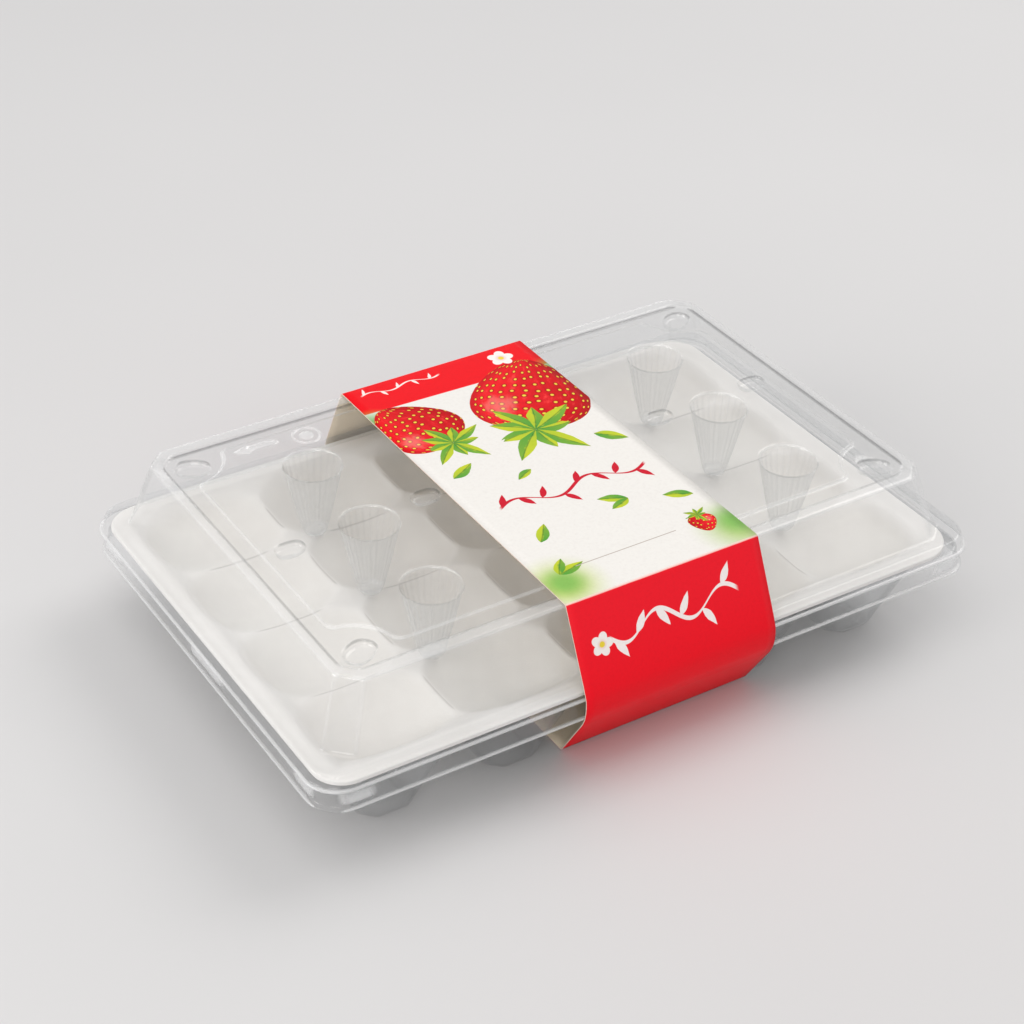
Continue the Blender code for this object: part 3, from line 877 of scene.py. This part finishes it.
def leaf_at(under, along, across, length, width, bend,
            dark=LEAF_GREEN, light=LIME, vein=LEAF_DARK):
    """A leaf whose midrib is bend * t^2, with half width 2.3 * width * t * (1 - t) * (1.25 - 0.5 t)
    and t = along / length. One side of the midrib is darker, and it lightens to its tip."""
    t = along / length
    off = across - t * t * bend
    half_wide = t * (1.0 - t) * (1.25 - 0.5 * card.clamp(t)) * (2.3 * width)
    sides = card.clamp(card.ease(-0.6, 0.6, off + (brush - 0.5) * 4.0) * 0.75 + t * 0.35)
    inked = card.mix(card.ease(0.4, 0.12, abs(off)) * 0.5, card.mix(sides, dark, light), vein)
    return paint(under, card.ease(-0.1, 0.15, half_wide - abs(off) + (brush - 0.5) * 0.9), inked)


def leaf(under, x, y, centre, degrees, length, width, bend=0.0):
    return leaf_at(under, *turned(x, y, centre, degrees), length, width, bend)


def star(under, x, y, crown, count, length, width):
    """Leaves all round a crown. The angle round it is folded into equal sectors, so one leaf serves
    them all, and its length and lean follow sines of the sector's number."""
    dx = x - crown[0]
    dy = y - crown[1]
    away = (dx ** 2.0 + dy ** 2.0) ** 0.5
    sector = card.math("ARCTAN2", dy, dx) * (count / (2 * math.pi))
    number = card.math("FLOOR", sector)
    angle = (sector - number - 0.5 + card.math("SINE", number * 2.4) * 0.14) * (2 * math.pi / count)
    long = (card.math("SINE", number * 2.9 + 1.0) * 0.2 + 0.85) * length
    return leaf_at(under, away * card.math("COSINE", angle), away * card.math("SINE", angle),
                   long, width, width * 0.35)


def glow(under, x, y, centre, reach, colour, most=0.85):
    """A soft round patch of colour that fades out at reach."""
    gone = ((x - centre[0]) ** 2.0 + (y - centre[1]) ** 2.0) ** 0.5
    return paint(under, card.ease(reach, reach * 0.15, gone) * most, colour)


def berry(under, x, y, crown, degrees, length, width, seeds=9.0, green=0.44, leaves=9):
    """A berry whose half width is width * sqrt(t * (1.03 - t)) * (1.3 - 0.62 t), with t from its
    crown to its tip. Its seeds lie as on a round body: across it they follow the arcsine of the
    offset over the half width. A star of leaves sits on the crown."""
    a, b = turned(x, y, crown, degrees)
    t = a / length
    swell = card.math("SQRT", card.math("MAXIMUM", t * (1.03 - t), 0.0))
    half_wide = swell * (1.3 - t * 0.62) * width
    gap = half_wide - abs(b) + (brush - 0.5) * 0.5
    body = card.ease(-0.1, 0.25, gap) * card.ease(0.0, 0.02, t) * card.ease(1.04, 1.02, t)
    level = (b / card.math("MAXIMUM", half_wide, 0.1)) * 0.49 + 0.5
    across = card.math("ARCSINE", card.clamp(level) * 2.0 - 1.0)
    dab = card.node("CombineXYZ", {}, {0: t * 2.6, 1: across * 2.2, 2: crown[0]})
    strokes = card.noise(2.4, 3.0, 0.6, dab.outputs[0])
    lit = card.clamp(card.ease(-1.3, 0.9, across + (strokes - 0.5) * 2.2))
    flesh = card.mix(lit, ink(196, 0, 16), ink(240, 22, 34))
    flesh = card.mix(card.ease(0.56, 0.78, strokes) * 0.5, flesh, ink(252, 92, 84))
    flesh = card.mix(card.ease(width * 0.13, 0.0, gap) * 0.55, flesh, ink(164, 0, 16))
    rows_of = card.node("CombineXYZ", {}, {0: t * seeds, 1: across * (seeds * 0.42)})
    spots = Field(card, card.node("TexVoronoi", {"voronoi_dimensions": "2D"}, {
        "Vector": rows_of.outputs[0], "Scale": 1.0, "Randomness": 0.45}).outputs["Distance"])
    flesh = card.mix(card.ease(0.36, 0.2, spots) * 0.7, flesh, ink(150, 0, 14))
    flesh = card.mix(card.ease(0.19, 0.12, spots), flesh, SEED)
    shine = ((t - 0.34) ** 2.0 / 0.028 + (across - 0.55) ** 2.0 / 0.1) ** 0.5
    flesh = card.mix(card.ease(1.25, 0.3, shine + (strokes - 0.5) * 2.0) * 0.35, flesh,
                     ink(255, 170, 160))
    under = paint(under, body, flesh)
    return star(under, x, y, crown, leaves, length * green, length * green * 0.27)


def blossom(under, x, y, centre, size):
    """Five petals: radius size * (0.66 + 0.34 * |cos(2.5 * angle)|), with a yellow heart."""
    dx = x - centre[0]
    dy = y - centre[1]
    away = (dx ** 2.0 + dy ** 2.0) ** 0.5
    angle = card.math("ARCTAN2", dy, dx)
    petal = (abs(card.math("COSINE", angle * 2.5)) * 0.34 + 0.66) * size
    under = paint(under, card.ease(-0.2, 0.15, petal - away), ink(250, 244, 240))
    under = paint(under, card.ease(size * 0.5, size * 0.25, away) * 0.5, ink(238, 190, 186))
    return paint(under, card.ease(size * 0.27, size * 0.2, away + (brush - 0.5) * 0.8), SEED)


def sprig(under, x, y, left, right, middle, sway, colour, line, leaves=6, long=7.4):
    """A wavy stem between two ends, thick where it rises as a brush stroke is. Its leaves stand to
    both sides by turns, and as they are evenly spaced along x one leaf serves them all."""
    wave = (right - left) / 2.0
    turn_of = (x - left) * (2 * math.pi / wave)
    stem_y = card.math("SINE", turn_of) * sway + middle
    thick = (card.math("COSINE", turn_of) * 0.35 + 0.8) * line
    ends = card.ease(0.0, 2.0, x - left) * card.ease(0.0, 2.0, right - x)
    under = paint(under, card.ease(-0.15, 0.15, thick - abs(y - stem_y)) * ends, colour)
    gap = (right - left) / leaves
    number = card.math("FLOOR", (x - left) / gap)
    root_x = (number + 0.22) * gap
    lift = card.math("SINE", root_x * (2 * math.pi / wave)) * sway + middle
    side = card.math("COSINE", number * math.pi)
    along, across = turned(x - left - root_x, (y - lift) * side, (0.0, 0.0), 50)
    drawn = leaf_at(under, along, across, long, long * 0.3, 1.2, colour, colour, colour)
    return paint(under, card.ease(0.0, 0.1, x - left) * card.ease(0.0, 0.1, right - x), drawn)


picture = card.mix(card.ease(61.4, 61.8, py + px * 0.03), PAPER_WHITE, RED)
for centre, reach, colour in (
        ((-34, -72), 20, ink(196, 214, 96)), ((-33, -71), 12, ink(120, 184, 84)),
        ((43, -74), 22, ink(176, 204, 110)), ((44, -70), 13, ink(120, 184, 84)),
        ((-39, 55), 12, ink(110, 180, 84)), ((45, 55), 12, ink(120, 186, 90))):
    picture = glow(picture, px, py, centre, reach, colour)
picture = sprig(picture, px, py, -35.0, 2.0, 75.5, 1.3, ink(250, 236, 232), 0.4, 5, 4.2)
picture = berry(picture, px, py, (-20.0, 28.0), 112.0, 36.0, 33.0)
picture = berry(picture, px, py, (13.0, 20.0), 64.0, 52.0, 46.0, 11.0)
for centre, degrees, length, width, bend in (
        ((-33, 6), 24, 13, 4.6, 1), ((31, 6), -38, 14, 5.2, -1), ((-4, -3), 200, 9, 3.4, 1),
        ((17, -38), 150, 12, 4.2, 1), ((17, -38), 205, 10, 3.8, -1), ((-27, -46), 48, 12, 4.4, 1),
        ((-32, -66), 8, 12, 4.2, 1), ((-32, -66), 60, 10, 3.8, -1), ((40, -48), 150, 12, 4.4, 1)):
    picture = leaf(picture, px, py, centre, degrees, length, width, bend)
picture = sprig(picture, px, py, -29.0, 37.0, -20.5, 3.4, ink(206, 22, 46), 0.75, 8, 8.0)
picture = berry(picture, px, py, (33.0, -60.0), 262.0, 11.0, 10.5, 5.0, 0.5, 7)
picture = blossom(picture, px, py, (30.0, 73.5), 5.6)
thin_line = card.ease(0.3, 0.12, abs(py + 64.6)) * card.ease(0.3, 0.0, abs(px + 2.0) - 22.0)
picture = paint(picture, thin_line, ink(186, 176, 168))
on_top = card.ease(0.2, 0.0, abs(py) - (TOP_MIDDLE - FRONT_FOLD))
down_front = FRONT_FOLD - travelled
# The front's red is lighter and pinker at the top fold and deeper lower down: a painted sheen.
panel = card.mix(card.ease(0.0, 62.0, down_front), ink(247, 30, 46), ink(240, 6, 26))
panel = sprig(panel, px, down_front, -26.0, 32.0, 16.5, 4.0, ink(252, 244, 242), 0.9, 6, 9.0)
panel = blossom(panel, px, down_front, (-29.0, 18.0), 4.6)
picture = card.mix(on_top, panel, picture)
# A pale line along each top fold is a painted highlight.
crease_highlight = card.ease(0.42, 0.16, abs(abs(py) - (TOP_MIDDLE - FRONT_FOLD)) + (brush - 0.5) * 0.2)
picture = paint(picture, crease_highlight * 0.72, ink(252, 214, 208))
picture = paint(picture, card.ease(0.35, 0.9, grain) * 0.06, ink(90, 20, 20))
card.feed(card.shader.inputs["Base Color"], picture)
card.bump(grain * 0.5 + card.noise(60.0, 2.0, 0.5) * 0.5, 0.12, 0.3)

board = Finish("sleeve_inside", Roughness=0.88, Specular_IOR_Level=0.3)
fibre = board.noise(700.0, 5.0, 0.65)
board.feed(board.shader.inputs["Base Color"], board.mix(
    board.ease(0.3, 0.75, fibre * 0.5 + board.noise(35.0, 3.0, 0.5) * 0.5),
    ink(250, 230, 200), ink(254, 240, 216)))
board.bump(fibre, 0.3, 0.15)

cut_edge = Finish("sleeve_cut_edge", Roughness=0.85)
cut_edge.feed(cut_edge.shader.inputs["Base Color"], cut_edge.mix(
    cut_edge.noise(1400.0, 3.0, 0.6), ink(236, 206, 190), ink(250, 236, 222)))
for made in (card, board, cut_edge):
    sleeve.data.materials.append(made.material)
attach(sleeve, "root")
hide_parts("sleeve")


# ---------------------------------------------------------------- studio
# A plain pale floor, a wide soft light overhead, soft panels to the right, the front left and the
# left, and a long narrow one behind that draws bright lines along the clear sheet's edges.
floor_side = np.linspace(-4.0, 4.0, 9) * 1000.0
floor_x, floor_y = np.meshgrid(floor_side, floor_side)
floor_z = np.full_like(floor_x, -LIP_Z - 0.4)
floor = add_mesh("floor", np.stack([floor_x, floor_y, floor_z], -1).reshape(-1, 3),
                 grid_faces(9, 9))
ground = Finish("floor_paper", Roughness=0.8, Specular_IOR_Level=0.2)
ground.feed(ground.shader.inputs["Base Color"], ground.mix(
    ground.noise(3.0, 2.0, 0.5), ink(212, 212, 213), ink(218, 218, 219)))
floor.data.materials.append(ground.material)


def soft_panel(name, place, aim, size, watts, colour=(1.0, 1.0, 1.0)):
    """A rectangular area light that faces the point aim."""
    data = bpy.data.lights.new(name, "AREA")
    data.shape = "RECTANGLE"
    data.size, data.size_y = size
    data.energy = watts
    data.color = colour
    lamp = bpy.data.objects.new(name, data)
    place, aim = Vector(place), Vector(aim)
    facing = (aim - place).to_track_quat("-Z", "Y")
    lamp.matrix_world = Matrix.Translation(place) @ facing.to_matrix().to_4x4()
    bpy.context.scene.collection.objects.link(lamp)


WARM = (1.0, 0.975, 0.955)
soft_panel("key", (1.05, 0.15, 1.2), (0.0, 0.0, 0.03), (1.1, 0.9), 8.2, WARM)
soft_panel("overhead", (-0.5, -0.15, 1.45), (0.0, 0.0, 0.0), (1.5, 1.2), 6.0, WARM)
soft_panel("front_left", (-1.2, -1.2, 0.75), (0.0, 0.0, 0.02), (0.9, 0.6), 5.6, WARM)
soft_panel("left", (-1.5, 0.2, 0.6), (0.0, 0.0, 0.03), (0.9, 0.5), 6.6, WARM)
soft_panel("back_strip", (0.3, 1.6, 0.42), (0.0, 0.0, 0.03), (1.8, 0.12), 2.5)
world = bpy.data.worlds.new("room")
bpy.context.scene.world = world
world.use_nodes = True
world.node_tree.nodes["Background"].inputs["Color"].default_value = (0.655, 0.65, 0.645, 1.0)
world.node_tree.nodes["Background"].inputs["Strength"].default_value = 0.8
bpy.context.scene.view_settings.view_transform = "Standard"
bpy.context.scene.cycles.transparent_max_bounces = 24
bpy.context.scene.cycles.max_bounces = 5
bpy.context.scene.cycles.diffuse_bounces = 3
bpy.context.scene.cycles.caustics_reflective = False
